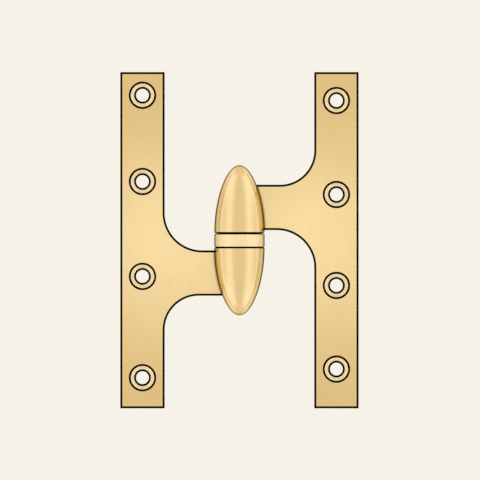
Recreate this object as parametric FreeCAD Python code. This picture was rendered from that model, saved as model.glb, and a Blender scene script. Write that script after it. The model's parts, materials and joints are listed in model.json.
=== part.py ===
import FreeCAD, Part
import math
import os

# Olive knuckle hinge, open flat, in millimetres.
# The origin is on the pin axis at the middle of the bearing. +Z runs up the pin, +X towards the
# door leaf, and -Y out of the front faces, the side that the screws go in from.

# Plates of the two leaves
leaf_height = 152.4
leaf_reach = 54.0  # pin axis to a plate's outer edge
plate_width = 20.1
leaf_thickness = 4.5
closed_gap = 2.4  # between the two front faces when the hinge is shut
leaf_edge_round = 0.95  # round both faces of a leaf; the plates' corners stay square

# Arms that carry the knuckles
arm_height = 20.55
arm_shoulder = 1.35  # knuckle's flat face to the arm's nearer edge
near_fillet = 17.0  # arm to plate, on the side of the hinge's middle
far_fillet = 15.5  # arm to plate, on the side of the plate's end

# Screw holes, given from the top and bottom edges of a plate and from its middle
hole_diameter = 5.8
countersink_diameter = 11.2
countersink_angle = 82.0
rim_break = 0.25  # small bevel on each rim of a hole
jamb_top_inset = 10.5
jamb_bottom_inset = 13.9
jamb_middle_heights = (26.6, -16.4)
door_top_inset = 12.9
door_bottom_inset = 17.8
door_middle_heights = (20.7, -20.5)

# Olive halves
knuckle_radius = 11.4
olive_length = 30.8  # knuckle's flat face to its tip
side_pull = 16.0  # how far the side keeps upright before it turns in
tip_pull = 5.7  # how blunt the tip is
knuckle_edge_break = 0.4
bore_wall = 2.0  # olive's metal round the end of its bore

# Pin and bush
pin_diameter = 9.0
pin_seat_bevel = 0.5
pin_lead_in = 1.2  # bevel on the pin's upper end
pin_end_room = 1.2  # above the pin in the door leaf's bore
running_clearance = 0.05  # pin to bush, on the radius
bush_wall = 1.0
bush_end_room = 3.6  # bush to the end of its bore

# Ball bearing between the olive halves
band_height = 6.5  # between the two knuckles' flat faces
cover_wall = 0.8
cover_gap = 0.25  # cover's upper edge to the turning knuckle
cover_edge_break = 0.4
race_bore_clearance = 0.1
race_rim_clearance = 0.15  # turning race to the cover
ball_diameter = 2.5
ball_web = 0.8  # least distance between two balls
ball_clearance = 0.03
groove_depth = 0.4
cage_thickness = 1.1
cage_rim = 0.3  # cage's metal beyond its pockets
pocket_clearance = 0.1

# Places worked out from the sizes above
front_y = closed_gap / 2
back_y = front_y + leaf_thickness
half_height = leaf_height / 2
plate_inner = leaf_reach - plate_width
plate_middle = leaf_reach - plate_width / 2
face_z = band_height / 2
tip_z = face_z + olive_length
arm_near_z = face_z + arm_shoulder
arm_far_z = arm_near_z + arm_height
pin_radius = pin_diameter / 2
bush_inner = pin_radius + running_clearance
bush_outer = bush_inner + bush_wall
cover_inner = knuckle_radius - cover_wall
race_bore = pin_radius + race_bore_clearance
ball_radius = ball_diameter / 2
ball_circle = (race_bore + cover_inner) / 2
ball_count = int(2 * math.pi * ball_circle / (ball_diameter + ball_web))
race_face_z = ball_radius - groove_depth
pocket_radius = ball_radius + pocket_clearance

origin = FreeCAD.Vector(0, 0, 0)
up = FreeCAD.Vector(0, 0, 1)
back = FreeCAD.Vector(0, 1, 0)


# Helpers


def point(x, z, y=0.0):
    """A point by its place in the front view."""
    return FreeCAD.Vector(x, y, z)


def line(start, end):
    return Part.LineSegment(start, end).toShape()


def lathe(edges):
    """The solid turned about the pin axis from the edges of a half section."""
    return Part.Face(Part.Wire(edges)).revolve(origin, up, 360)


def turned(section):
    """The solid turned about the pin axis from (radius, height) corners."""
    corners = [point(radius, height) for radius, height in section]
    return lathe([line(a, b) for a, b in zip(corners, corners[1:] + corners[:1])])


def ring(inner, outer, low, high):
    return turned([(inner, low), (outer, low), (outer, high), (inner, high)])


def turn_over(shape):
    """The shape after half a turn about Y, from the door side and upper half to the others."""
    other = shape.copy()
    other.rotate(origin, back, 180)
    return other


# Olive halves


def olive_side():
    """The curve of the upper half's side, from its bevelled edge to the tip."""
    start_z = face_z + knuckle_edge_break
    curve = Part.BezierCurve()
    curve.setPoles(
        [
            point(knuckle_radius, start_z),
            point(knuckle_radius, start_z + side_pull),
            point(tip_pull, tip_z),
            point(0, tip_z),
        ]
    )
    return curve


def olive_height(radius):
    """Where the upper half has narrowed to this radius."""
    upright = Part.LineSegment(point(radius, face_z), point(radius, tip_z))
    return olive_side().intersect(upright)[0].Z


def olive_half():
    """The upper half, solid."""
    side = olive_side().toShape()
    rim = side.firstVertex().Point
    face_centre = point(0, face_z)
    face_edge = point(knuckle_radius - knuckle_edge_break, face_z)
    return lathe(
        [
            line(face_centre, face_edge),
            line(face_edge, rim),
            side,
            line(point(0, tip_z), face_centre),
        ]
    )


bore_end_z = olive_height(bush_outer + bore_wall)
pin_top_z = bore_end_z - pin_end_room
bush_top_z = bore_end_z - bush_end_room


# Leaves


def corner_arc(radius, arm_z, away):
    """The inside corner of arm and plate, open upwards if away is 1 and downwards if it is -1."""
    centre_x = plate_inner - radius
    centre_z = arm_z + away * radius
    slant = radius * math.sqrt(0.5)
    on_arm = point(centre_x, arm_z, front_y)
    middle = point(centre_x + slant, centre_z - away * slant, front_y)
    on_plate = point(plate_inner, centre_z, front_y)
    return on_arm, Part.Arc(on_arm, middle, on_plate).toShape(), on_plate


def door_side_blank():
    """Plate and arm of the door leaf with rounded edges. The arm ends on the pin axis."""
    arm_room = plate_inner - knuckle_radius
    end_room = half_height - arm_far_z - countersink_diameter / 2
    near_arm, near_arc, near_plate = corner_arc(min(near_fillet, arm_room), arm_near_z, -1)
    far_arm, far_arc, far_plate = corner_arc(min(far_fillet, arm_room, end_room), arm_far_z, 1)
    axis_near = point(0, arm_near_z, front_y)
    axis_far = point(0, arm_far_z, front_y)
    inner_bottom = point(plate_inner, -half_height, front_y)
    outer_bottom = point(leaf_reach, -half_height, front_y)
    outer_top = point(leaf_reach, half_height, front_y)
    inner_top = point(plate_inner, half_height, front_y)
    outline = [
        line(axis_far, axis_near),
        line(axis_near, near_arm),
        near_arc,
        line(near_plate, inner_bottom),
        line(inner_bottom, outer_bottom),
        line(outer_bottom, outer_top),
        line(outer_top, inner_top),
        line(inner_top, far_plate),
        far_arc,
        line(far_arm, axis_far),
    ]
    blank = Part.Face(Part.Wire(outline)).extrude(back * leaf_thickness)
    return blank.makeFillet(leaf_edge_round, [edge for edge in blank.Edges if is_bare(edge)])


def is_bare(edge):
    """True for an edge of a face that stays outside the knuckle."""
    box = edge.BoundBox
    small = 1e-6
    on_axis = box.XMax < small
    round_a_face = box.YLength < small
    return round_a_face and not on_axis


def rim_bevel(radius, centre, inward):
    """A 45 degree cone that breaks the rim of a round hole."""
    wide = radius + rim_break
    return Part.makeCone(wide, 0, wide, centre, inward)


def screw_hole(x, z):
    """What a countersunk screw hole takes out of a plate."""
    hole_radius = hole_diameter / 2
    sink_radius = countersink_diameter / 2
    sink_depth = sink_radius / math.tan(math.radians(countersink_angle / 2))
    front = point(x, z, front_y)
    shank = Part.makeCylinder(hole_radius, leaf_thickness, front, back)
    sink = Part.makeCone(sink_radius, 0, sink_depth, front, back)
    front_bevel = rim_bevel(sink_radius, front, back)
    back_bevel = rim_bevel(hole_radius, point(x, z, back_y), -back)
    return shank.fuse([sink, front_bevel, back_bevel])


def leaf(blank, knuckle, bore, hole_x, hole_heights):
    """One leaf, in one piece with its half of the olive."""
    holes = [screw_hole(hole_x, height) for height in hole_heights]
    return blank.fuse(knuckle).cut([bore, *holes]).removeSplitter()


def door_leaf():
    top = half_height - door_top_inset
    bottom = door_bottom_inset - half_height
    bore = Part.makeCylinder(bush_outer, bore_end_z)
    heights = (top, *door_middle_heights, bottom)
    return leaf(door_side_blank(), olive_half(), bore, plate_middle, heights)


def jamb_leaf():
    top = half_height - jamb_top_inset
    bottom = jamb_bottom_inset - half_height
    bore = Part.makeCylinder(pin_radius, bore_end_z, origin, -up)
    heights = (top, *jamb_middle_heights, bottom)
    return leaf(turn_over(door_side_blank()), turn_over(olive_half()), bore, -plate_middle, heights)


# Pin and bush


def hinge_pin():
    """Seated to the end of the jamb leaf's bore."""
    return turned(
        [
            (0, -bore_end_z),
            (pin_radius - pin_seat_bevel, -bore_end_z),
            (pin_radius, -bore_end_z + pin_seat_bevel),
            (pin_radius, pin_top_z - pin_lead_in),
            (pin_radius - pin_lead_in, pin_top_z),
            (0, pin_top_z),
        ]
    )


def door_leaf_bush():
    return ring(bush_inner, bush_outer, face_z, bush_top_z)


# Ball bearing


def ball_track():
    """The ring that the balls sweep, a little larger than they are."""
    return Part.makeTorus(ball_circle, ball_radius + ball_clearance)


def lower_race():
    return ring(race_bore, cover_inner, -face_z, -race_face_z).cut(ball_track())


def upper_race():
    return ring(race_bore, cover_inner - race_rim_clearance, race_face_z, face_z).cut(ball_track())


def bearing_cover():
    """The plain band, seated on the lower knuckle and flush with the olive."""
    low = -face_z
    high = face_z - cover_gap
    return turned(
        [
            (cover_inner, low),
            (knuckle_radius - cover_edge_break, low),
            (knuckle_radius, low + cover_edge_break),
            (knuckle_radius, high - cover_edge_break),
            (knuckle_radius - cover_edge_break, high),
            (cover_inner, high),
        ]
    )


def ball_centres():
    turns = [2 * math.pi * number / ball_count for number in range(ball_count)]
    return [FreeCAD.Vector(math.cos(turn), math.sin(turn), 0) * ball_circle for turn in turns]


def ball_cage():
    low = -cage_thickness / 2
    half_width = pocket_radius + cage_rim
    pockets = [Part.makeCylinder(pocket_radius, cage_thickness, c + up * low) for c in ball_centres()]
    return ring(ball_circle - half_width, ball_circle + half_width, low, -low).cut(pockets)


def main():
    pieces = {
        "jamb_leaf": jamb_leaf(),
        "door_leaf": door_leaf(),
        "hinge_pin": hinge_pin(),
        "door_leaf_bush": door_leaf_bush(),
        "bearing_cover": bearing_cover(),
        "lower_race": lower_race(),
        "upper_race": upper_race(),
        "ball_cage": ball_cage(),
    }
    for number, centre in enumerate(ball_centres(), start=1):
        pieces[f"ball_{number:02d}"] = Part.makeSphere(ball_radius, centre)
    os.makedirs("parts", exist_ok=True)
    for name, shape in pieces.items():
        shape.exportStep(f"parts/{name}.step")


main()
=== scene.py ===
import json
import math
from types import SimpleNamespace

import bpy
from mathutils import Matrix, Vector


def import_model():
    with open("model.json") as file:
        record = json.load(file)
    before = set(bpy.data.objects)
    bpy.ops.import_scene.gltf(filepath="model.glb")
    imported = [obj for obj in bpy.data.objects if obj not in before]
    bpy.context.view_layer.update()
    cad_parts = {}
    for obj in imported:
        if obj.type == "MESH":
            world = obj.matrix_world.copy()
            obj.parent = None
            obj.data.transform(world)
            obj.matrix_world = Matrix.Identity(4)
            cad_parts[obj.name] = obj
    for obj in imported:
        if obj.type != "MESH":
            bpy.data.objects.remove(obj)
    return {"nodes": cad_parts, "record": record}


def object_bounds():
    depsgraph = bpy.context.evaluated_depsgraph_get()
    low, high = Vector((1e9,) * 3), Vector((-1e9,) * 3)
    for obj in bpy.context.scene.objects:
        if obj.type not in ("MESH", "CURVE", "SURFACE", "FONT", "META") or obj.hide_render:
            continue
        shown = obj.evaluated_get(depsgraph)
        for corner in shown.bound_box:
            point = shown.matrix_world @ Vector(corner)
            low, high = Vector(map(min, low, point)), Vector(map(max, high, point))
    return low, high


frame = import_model()
cad_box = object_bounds()

# Lengths are in metres, apart from those inside a material, and colours are linear light.
MM = 0.001
WHITE = (1.0, 1.0, 1.0)
PAPER = (0.930, 0.888, 0.807)  # the pale cream round the object
X, Z = 0, 2  # numbers of the axes


def rgba(colour):
    return (*colour, 1.0)


# Node helpers


class Nodes:
    """Short calls that add nodes to one node tree and join them."""

    # A Mix node's sockets for colours
    MIX_INPUTS = (0, 6, 7)
    MIX_OUTPUT = 2

    def __init__(self, tree):
        self.tree = tree
        tree.nodes.clear()

    def add(self, kind, inputs=(), **settings):
        node = self.tree.nodes.new("ShaderNode" + kind)
        for key, value in settings.items():
            setattr(node, key, value)
        for key, value in dict(inputs).items():
            self.join(value, node.inputs[key])
        return node

    def join(self, value, socket):
        if isinstance(value, bpy.types.NodeSocket):
            self.tree.links.new(value, socket)
        else:
            socket.default_value = value

    def math(self, operation, *values):
        return self.add("Math", dict(enumerate(values)), operation=operation).outputs[0]

    def chain(self, operation, first, *others):
        result = first
        for value in others:
            result = self.math(operation, result, value)
        return result

    def product(self, *values):
        return self.chain("MULTIPLY", *values)

    def largest(self, *values):
        return self.chain("MAXIMUM", *values)

    def smallest(self, *values):
        return self.chain("MINIMUM", *values)

    def inverse(self, mask):
        return self.math("SUBTRACT", 1.0, mask)

    def ramp(self, value, low, high):
        """0 at low and 1 at high, with soft ends. Low may be the larger of the two."""
        inputs = {"Value": value, "From Min": low, "From Max": high}
        return self.add("MapRange", inputs, interpolation_type="SMOOTHSTEP").outputs[0]

    def above(self, value, limit, soft=0.2):
        """1 from the limit up, and 0 further than soft below it."""
        return self.ramp(value, limit - soft, limit)

    def below(self, value, limit, soft=0.2):
        """1 up to the limit, and 0 further than soft above it."""
        return self.ramp(value, limit + soft, limit)

    def within(self, value, low, high, soft=0.05):
        """1 from low to high, and 0 further than soft outside them."""
        return self.product(self.above(value, low, soft), self.below(value, high, soft))

    def between(self, factor, start, end):
        """The number that goes from start to end as the factor goes from 0 to 1."""
        inputs = {"Value": factor, "To Min": start, "To Max": end}
        return self.add("MapRange", inputs).outputs[0]

    def mix(self, factor, first, second):
        """The same for colours."""
        node = self.add("Mix", data_type="RGBA")
        for number, value in zip(self.MIX_INPUTS, (factor, first, second)):
            self.join(rgba(value) if isinstance(value, tuple) else value, node.inputs[number])
        return node.outputs[self.MIX_OUTPUT]

    def vector(self, x, y, z=0.0):
        return self.add("CombineXYZ", {0: x, 1: y, 2: z}).outputs[0]

    def scaled(self, vector, factors):
        return self.add("VectorMath", {0: vector, 1: factors}, operation="MULTIPLY").outputs[0]

    def dimmed(self, colour, factor):
        return self.add("VectorMath", {0: colour, "Scale": factor}, operation="SCALE").outputs[0]

    def distance(self, vector, point):
        node = self.add("VectorMath", {0: vector, 1: point}, operation="DISTANCE")
        return node.outputs["Value"]

    def noise(self, vector, factors, detail=3.0):
        """Noise with this many features to the millimetre along each axis."""
        inputs = {"Vector": self.scaled(vector, factors), "Scale": 1.0, "Detail": detail}
        return self.add("TexNoise", inputs).outputs[0]

    def scratches(self, vector, factors):
        """Thin lines, in patches, where a noise passes its middle value."""
        off_middle = self.math("ABSOLUTE", self.math("SUBTRACT", self.noise(vector, factors, 1.0), 0.5))
        patches = self.noise(vector, (0.09, 0.09, 0.09), 1.0)
        return self.product(self.ramp(off_middle, 0.012, 0.0), self.ramp(patches, 0.48, 0.62))


# Sizes of the part for its materials, in millimetres from the pin axis or the bearing's middle


def reach(node, axis):
    """How far a piece reaches along an axis."""
    return max(corner[axis] for corner in frame["nodes"][node].bound_box) / MM


SCREWS = [mount for mount in frame["record"]["mounts"] if mount["kind"] == "bolt_pattern"]
HOLE_RADIUS = SCREWS[0]["dims"]["hole_r_mm"]
SINK_RADIUS = 5.6
LINE = 0.9  # how wide the dark rings round the holes are
ARM_LOW, ARM_HIGH = 4.6, 25.15  # heights of an arm's edges
ARM_ROOT = 32.0  # where the painted highlight on the plates is palest
PAINTED_HIGHLIGHT_REACH = 72.0  # from there to where the painted highlight has faded to painted shade
OLIVE_RADIUS = reach("bearing_cover", X)
KNUCKLE_FACE = reach("upper_race", Z)
RACE_RADIUS = reach("upper_race", X)
BUSH_RADIUS = reach("door_leaf_bush", X)
BUSH_TOP = reach("door_leaf_bush", Z)
BALL_RADIUS = reach("ball_01", Z)
BALL_CIRCLE = reach("ball_01", X) - BALL_RADIUS
TRACK_HALF_WIDTH = 1.0

# Colours of the part

PLATE_PAINTED_HIGHLIGHT = (0.975, 0.777, 0.425)  # painted highlight, by the arms
PLATE_PAINTED_SHADE = (0.772, 0.567, 0.262)  # painted shade, at the ends of the plates
OLIVE = (0.803, 0.612, 0.303)
BAND = (0.905, 0.748, 0.449)
FRESH_CUT = (0.97, 0.84, 0.545)
DULL_BRASS = (0.60, 0.42, 0.16)
OLD_GREASE = (0.30, 0.19, 0.07)
# near black: tarnish on edges and round holes, old grease at the races' rims, and painted shade in
# grooves and corners
TARNISH_AND_PAINTED_SHADE = (0.004, 0.003, 0.002)
ROUND_EDGE = (0.0, 0.0, 0.0)  # how dark polished rounds turn where they are seen at a slant
PIN_GROUND = (0.50, 0.50, 0.49)
PIN_WORN = (0.60, 0.59, 0.57)
BRONZE_DARK = (0.36, 0.19, 0.085)
BRONZE_PALE = (0.50, 0.29, 0.14)
BRONZE_PIT = (0.07, 0.04, 0.02)
RACE_DARK = (0.36, 0.35, 0.335)
RACE_PALE = (0.44, 0.43, 0.41)
RACE_ROLLED = (0.62, 0.61, 0.59)
BALL_CLEAN = (0.68, 0.68, 0.69)
BALL_GREASED = (0.52, 0.48, 0.40)


# What every material starts from


def place(nodes):
    """Where a point of the part is and how it faces there. Both stay with a body that moves."""
    coordinates = nodes.add("TexCoord").outputs
    spot = nodes.scaled(coordinates["Object"], (1 / MM, 1 / MM, 1 / MM))
    x, y, z = nodes.add("SeparateXYZ", {0: spot}).outputs
    facing = nodes.add("SeparateXYZ", {0: coordinates["Normal"]}).outputs
    from_axis = nodes.scaled(spot, (1, 1, 0))
    way_out = nodes.add("VectorMath", {0: from_axis}, operation="NORMALIZE").outputs[0]
    outward = nodes.add("VectorMath", {0: way_out, 1: coordinates["Normal"]}, operation="DOT_PRODUCT")
    return SimpleNamespace(
        spot=spot,
        y=y,
        z=z,
        side=nodes.math("ABSOLUTE", x),
        height=nodes.math("ABSOLUTE", z),
        radius=nodes.distance(from_axis, (0, 0, 0)),
        outward=outward.outputs["Value"],
        front=nodes.math("MULTIPLY", facing[1], -1.0),
        flat=nodes.math("ABSOLUTE", facing[1]),
        level=nodes.math("ABSOLUTE", facing[2]),
        glancing=nodes.ramp(nodes.add("LayerWeight").outputs["Facing"], 0.55, 0.75),
    )


def lathe_marks(nodes, at, per_mm):
    """Fine rings round the pin axis, on a side and on a face alike."""
    return nodes.noise(nodes.vector(at.z, at.radius), (per_mm, per_mm, 1.0))


def metal(build):
    """A bare metal, from what its builder says of each point."""
    material = bpy.data.materials.new(build.__name__)
    material.use_nodes = True
    nodes = Nodes(material.node_tree)
    finish = build(nodes, place(nodes))
    bump = nodes.add("Bump", {"Height": finish["marks"], "Distance": finish["depth"] * MM})
    shader = nodes.add("BsdfPrincipled", {"Metallic": 1.0, "Normal": bump.outputs[0]})
    nodes.join(finish["tone"], shader.inputs["Base Color"])
    nodes.join(finish["gloss"], shader.inputs["Roughness"])
    nodes.join(finish.get("slant", rgba(WHITE)), shader.inputs["Specular Tint"])
    nodes.add("OutputMaterial", {"Surface": shader.outputs[0]})
    return material


# Leaves


def screw_holes():
    """(x, z) of each screw hole."""
    holes = []
    for pattern in SCREWS:
        x, _, z = (value / MM for value in pattern["pos_m"])
        half = pattern["dims"]["spacing_y_mm"] / 2
        holes += [(x, z - half), (x, z + half)]
    return holes


def from_hole(nodes, spot):
    """How far a point is from the middle of the nearest screw hole, seen from the front."""
    seen = nodes.scaled(spot, (1, 0, 1))
    return nodes.smallest(*(nodes.distance(seen, (x, 0, z)) for x, z in screw_holes()))


def leaf_regions(nodes, at, hole):
    """Where a leaf isn't its back, and where it is olive, turned, countersunk, a wall or a seat."""
    not_back = nodes.above(at.front, -0.9, 0.05)
    round_side = nodes.largest(
        nodes.above(at.outward, 0.7),
        nodes.above(at.height, ARM_HIGH + 0.3),
        nodes.below(at.height, ARM_LOW - 0.2, 0.1),
    )
    olive = nodes.product(nodes.below(at.radius, OLIVE_RADIUS + 0.3), round_side)
    turned = nodes.largest(olive, nodes.below(at.radius, BUSH_RADIUS + 0.25))
    sink = nodes.product(nodes.below(hole, SINK_RADIUS + 0.2, 0.1), not_back)
    wall = nodes.product(nodes.below(at.flat, 0.1), nodes.inverse(turned), nodes.inverse(sink))
    seat = nodes.product(
        nodes.below(at.height, KNUCKLE_FACE + 0.1, 0.1),
        nodes.below(at.radius, RACE_RADIUS - 0.35),
    )
    return SimpleNamespace(not_back=not_back, olive=olive, turned=turned, sink=sink, wall=wall, seat=seat)


def leaf_tarnish_and_painted_shade(nodes, at, hole, where):
    """Where a leaf is dark: tarnish along edges and round holes, and painted shade beside the band and in
    corners.
    """
    rounded = nodes.product(nodes.above(at.flat, 0.12, 0.1), nodes.below(at.flat, 0.999, 0.0008))
    clear_of_hole = nodes.above(hole, SINK_RADIUS + 0.7, 0.3)
    edge = nodes.product(rounded, nodes.inverse(where.turned), clear_of_hole)
    sink_line = nodes.within(hole, SINK_RADIUS - LINE / 3, SINK_RADIUS + LINE * 2 / 3)
    sink_rim = nodes.product(sink_line, where.not_back)
    hole_line = nodes.within(hole, HOLE_RADIUS, HOLE_RADIUS + LINE)
    hole_rim = nodes.product(hole_line, nodes.above(at.flat, 0.4))
    # painted shade in the V-grooves where the olive meets the band
    painted_groove_shade = nodes.product(
        where.turned,
        nodes.below(at.height, KNUCKLE_FACE + 0.4, 0.15),
        nodes.above(at.radius, OLIVE_RADIUS - 0.5, 0.3),
    )
    # painted shade from ambient occlusion, in the corners where the arms meet the olive
    open_air = nodes.add("AmbientOcclusion", {"Distance": 1.6 * MM}, samples=6).outputs["AO"]
    corner = nodes.product(nodes.below(open_air, 0.35, 0.5), nodes.inverse(where.sink), 0.9)
    return nodes.largest(edge, sink_rim, hole_rim, painted_groove_shade, corner)


def leaf_marks(nodes, at, hole, where):
    """Brushed grain with scratches, rings where a leaf is turned, and cutter marks in countersinks."""
    grain = nodes.noise(at.spot, (5.0, 5.0, 0.12))
    scratches = nodes.product(nodes.scratches(at.spot, (0.30, 0.30, 0.05)), 0.5)
    rings = nodes.between(lathe_marks(nodes, at, 4.0), 0.2, 0.8)
    cutter = nodes.noise(nodes.vector(hole, at.y), (3.5, 3.5, 1.0))
    marks = nodes.between(where.turned, nodes.math("SUBTRACT", grain, scratches), rings)
    return nodes.between(where.sink, marks, cutter)


def leaf_tone(nodes, at, where, marks, dark):
    """A painted highlight, palest by the arms and fading to painted shade at the plates' ends, darkened
    by the marks and by slow clouds.
    """
    clouds = nodes.noise(at.spot, (0.06, 0.06, 0.035))
    # painted highlight across the plates, centred by the arm roots and fading towards their ends
    from_arm = nodes.distance(nodes.vector(at.side, 0.0, at.z), (ARM_ROOT, 0.0, 0.0))
    plate_painted_highlight = nodes.mix(nodes.ramp(from_arm, 0.0, PAINTED_HIGHLIGHT_REACH), PLATE_PAINTED_HIGHLIGHT, PLATE_PAINTED_SHADE)
    shade = nodes.product(
        nodes.between(nodes.ramp(marks, 0.25, 0.75), 0.94, 1.0),
        nodes.between(nodes.ramp(clouds, 0.3, 0.7), 0.97, 1.0),
        nodes.between(where.wall, 1.0, 0.93),
    )
    tone = nodes.dimmed(nodes.mix(where.turned, plate_painted_highlight, OLIVE), shade)
    tone = nodes.mix(where.sink, tone, FRESH_CUT)
    tone = nodes.mix(nodes.product(where.seat, nodes.between(clouds, 0.2, 0.9)), tone, DULL_BRASS)
    # near black where a leaf is tarnished and where shade is painted
    return nodes.mix(dark, tone, TARNISH_AND_PAINTED_SHADE)


def leaf_gloss(nodes, at, where, marks, dark):
    """Satin plates and a polished olive, and duller where a leaf is dark or countersunk."""
    satin = nodes.math("ADD", nodes.between(marks, 0.24, 0.40), nodes.product(where.wall, 0.06))
    polish = nodes.product(nodes.between(marks, 0.22, 0.30), nodes.between(at.glancing, 1.0, 0.25))
    dulled = nodes.product(nodes.largest(dark, where.sink), 0.25)
    return nodes.math("ADD", nodes.between(where.turned, satin, polish), dulled)


def leaf_brass(nodes, at):
    """Satin plates and arms with a polished olive, tarnished along the edges, with painted shade in the
    corners and beside the band and a painted highlight across the plates.
    """
    hole = from_hole(nodes, at.spot)
    where = leaf_regions(nodes, at, hole)
    dark = leaf_tarnish_and_painted_shade(nodes, at, hole, where)
    marks = leaf_marks(nodes, at, hole, where)
    return {
        "tone": leaf_tone(nodes, at, where, marks, dark),
        "gloss": leaf_gloss(nodes, at, where, marks, dark),
        "marks": marks,
        "depth": 0.004,
        "slant": nodes.mix(nodes.largest(where.olive, dark), WHITE, ROUND_EDGE),
    }


# Band, pin, bush and bearing


def band_brass(nodes, at):
    """The bearing's cover, turned and paler than the olive, with painted shade on its bevels in the
    grooves beside it.
    """
    rings = lathe_marks(nodes, at, 5.0)
    clouds = nodes.noise(at.spot, (0.3, 0.3, 0.3))
    tone = nodes.dimmed(BAND, nodes.between(nodes.ramp(clouds, 0.3, 0.7), 0.95, 1.0))
    # painted shade on the bevels at the band's edges, in the grooves beside the knuckles
    bevel_painted_shade = nodes.within(at.level, 0.3, 0.9, 0.15)
    tone = nodes.mix(bevel_painted_shade, tone, TARNISH_AND_PAINTED_SHADE)
    gloss = nodes.product(nodes.between(rings, 0.54, 0.62), nodes.between(at.glancing, 1.0, 0.2))
    return {"tone": tone, "gloss": gloss, "marks": rings, "depth": 0.003, "slant": rgba(ROUND_EDGE)}


def pin_steel(nodes, at):
    """Ground round, with a paler path where the bush has turned on it."""
    rings = lathe_marks(nodes, at, 9.0)
    smears = nodes.noise(at.spot, (0.06, 0.06, 0.9))
    in_bush = nodes.within(at.z, KNUCKLE_FACE + 1.25, BUSH_TOP - 1.5, 1.0)
    path = nodes.product(in_bush, nodes.ramp(smears, 0.3, 0.6))
    tone = nodes.mix(path, PIN_GROUND, PIN_WORN)
    gloss = nodes.math("SUBTRACT", nodes.between(rings, 0.20, 0.28), nodes.product(path, 0.05))
    return {"tone": tone, "gloss": gloss, "marks": rings, "depth": 0.0006}


def bush_bronze(nodes, at):
    """Pressed from powder and soaked in oil, so it is finely pitted."""
    cells = nodes.add("TexVoronoi", {"Vector": at.spot, "Scale": 4.0}).outputs["Distance"]
    pits = nodes.ramp(cells, 0.28, 0.12)
    oil = nodes.noise(at.spot, (0.5, 0.5, 0.5))
    tone = nodes.mix(oil, BRONZE_DARK, BRONZE_PALE)
    tone = nodes.mix(nodes.product(pits, 0.8), tone, BRONZE_PIT)
    gloss = nodes.between(oil, 0.28, 0.5)
    return {"tone": tone, "gloss": gloss, "marks": nodes.inverse(pits), "depth": 0.02}


def bearing_steel(nodes, at):
    """Hardened and ground in rings, bright in the ball track and black with old grease at the rim."""
    rings = lathe_marks(nodes, at, 6.0)
    off_track = nodes.math("ABSOLUTE", nodes.math("SUBTRACT", at.radius, BALL_CIRCLE))
    track = nodes.product(
        nodes.below(off_track, TRACK_HALF_WIDTH - 0.1),
        nodes.below(at.height, KNUCKLE_FACE - 1.0),
    )
    film = nodes.noise(at.spot, (0.35, 0.35, 0.35))
    tone = nodes.mix(nodes.ramp(film, 0.3, 0.7), RACE_DARK, RACE_PALE)
    tone = nodes.mix(track, tone, RACE_ROLLED)
    tone = nodes.mix(nodes.above(at.radius, RACE_RADIUS - 0.05), tone, TARNISH_AND_PAINTED_SHADE)
    gloss = nodes.math("SUBTRACT", nodes.between(rings, 0.22, 0.36), nodes.product(track, 0.12))
    return {"tone": tone, "gloss": gloss, "marks": rings, "depth": 0.0015}


def cage_brass(nodes, at):
    """Stamped sheet, tumbled dull, with old grease on it."""
    tumbled = nodes.noise(at.spot, (3.0, 3.0, 3.0), 4.0)
    grease = nodes.noise(at.spot, (0.4, 0.4, 0.4), 2.0)
    tone = nodes.mix(nodes.ramp(grease, 0.4, 0.65), DULL_BRASS, OLD_GREASE)
    return {"tone": tone, "gloss": nodes.between(tumbled, 0.34, 0.55), "marks": tumbled, "depth": 0.01}


def ball_steel(nodes, at):
    """Polished balls under a thin, uneven film of grease."""
    film = nodes.ramp(nodes.noise(at.spot, (0.9, 0.9, 0.9)), 0.35, 0.65)
    tone = nodes.mix(film, BALL_CLEAN, BALL_GREASED)
    return {"tone": tone, "gloss": nodes.between(film, 0.06, 0.22), "marks": film, "depth": 0.003}


FINISHES = {}
for builder in (leaf_brass, band_brass, pin_steel, bush_bronze, bearing_steel, cage_brass, ball_steel):
    FINISHES[builder.__name__] = metal(builder)
for part in frame["record"]["subparts"]:
    frame["nodes"][part["node"]].material_slots[0].material = FINISHES[part["material_slot"]]


# Floor, light and camera

VIEW_WIDTH = 0.21754  # what the picture spans, from the leaves' height in it
VIEW_CENTRE = (0.00025, 0.0, 0.0001)
CAMERA_DISTANCE = 0.6
FLOOR_WIDTH = 6.0
ROOM_LIGHT = (0.79, 0.78, 0.705)
COOL = (0.68, 0.73, 1.0)


def world():
    """Cream to the camera and in every reflection, and plain light for the rest."""
    made = bpy.data.worlds.new("studio")
    bpy.context.scene.world = made
    made.use_nodes = True
    nodes = Nodes(made.node_tree)
    path = nodes.add("LightPath").outputs
    seen = nodes.largest(path["Is Camera Ray"], path["Is Glossy Ray"], path["Is Transmission Ray"])
    light = nodes.add("Background", {"Color": rgba(ROOM_LIGHT), "Strength": 1.0}).outputs[0]
    paper = nodes.add("Background", {"Color": rgba(PAPER), "Strength": 1.0}).outputs[0]
    mixed = nodes.add("MixShader", {0: seen, 1: light, 2: paper}).outputs[0]
    nodes.add("OutputWorld", {"Surface": mixed})


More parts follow.
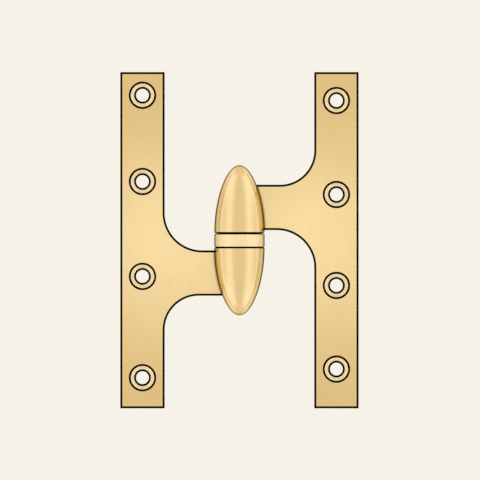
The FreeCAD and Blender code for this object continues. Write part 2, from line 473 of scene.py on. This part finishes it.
def softbox(name, turn, rise, distance, size, glow, colour=COOL):
    """A soft lamp that faces the object, turned to the right and raised from the front by degrees.

    Glow is how bright it looks, where 1 is white.
    """
    azimuth, elevation = math.radians(turn), math.radians(rise)
    flat = math.cos(elevation)
    way = Vector((math.sin(azimuth) * flat, -math.cos(azimuth) * flat, math.sin(elevation)))
    width, height = size
    lamp = bpy.data.lights.new(name, "AREA")
    lamp.shape = "RECTANGLE"
    lamp.size, lamp.size_y = width, height
    lamp.energy = glow * math.pi * width * height
    lamp.color = colour
    holder = bpy.data.objects.new(name, lamp)
    holder.location = way * distance
    holder.rotation_euler = way.to_track_quat("Z", "Y").to_euler()
    holder.visible_camera = False
    bpy.context.scene.collection.objects.link(holder)


def lamps():
    """Mirrored pairs round the sides, and a broad lamp in front, one above and one below.

    They stand beyond the floor, so that it is lit evenly.
    """
    for side, hand in (("left", -1), ("right", 1)):
        softbox(f"wide_{side}", hand * 49, 0, 4.5, (3.1, 15.0), 0.32)
        softbox(f"strip_{side}", hand * 49, 0, 4.0, (1.0, 13.0), 0.28)
        softbox(f"flank_{side}", hand * 95, 0, 4.5, (6.0, 15.0), 0.18)
        softbox(f"back_{side}", hand * 120, 0, 4.5, (5.5, 15.0), 0.40)
        softbox(f"high_{side}", hand * 88, 38, 4.0, (3.5, 2.5), 0.4)
        softbox(f"low_{side}", hand * 88, -38, 4.0, (3.5, 2.5), 0.4)
    softbox("front", 0, 0, 5.5, (11.0, 25.0), 0.07, WHITE)
    softbox("top", 0, 80, 4.5, (5.0, 3.5), 0.13)
    softbox("bottom", 0, -80, 4.5, (5.0, 3.5), 0.13)


def camera():
    """Straight on to the fronts of the leaves, as in the photo."""
    made = bpy.data.cameras.new("camera")
    made.type = "ORTHO"
    made.ortho_scale = VIEW_WIDTH
    holder = bpy.data.objects.new("camera", made)
    holder.location = Vector(VIEW_CENTRE) + Vector((0, -CAMERA_DISTANCE, 0))
    holder.rotation_euler = (math.radians(90), 0, 0)
    bpy.context.scene.collection.objects.link(holder)
    bpy.context.scene.camera = holder


def floor():
    """Pale, under the plates. It stops no lamp, and reflections see the world's cream in its place."""
    bpy.ops.mesh.primitive_plane_add(size=FLOOR_WIDTH, location=(0, 0, cad_box[0].z))
    made = bpy.context.object
    made.name = "floor"
    made.visible_glossy = False
    made.visible_shadow = False
    material = bpy.data.materials.new("floor")
    material.use_nodes = True
    shader = material.node_tree.nodes["Principled BSDF"]
    shader.inputs["Base Color"].default_value = rgba(PAPER)
    shader.inputs["Roughness"].default_value = 0.9
    made.data.materials.append(material)


world()
lamps()
camera()
floor()
bpy.context.scene.view_settings.view_transform = "Standard"
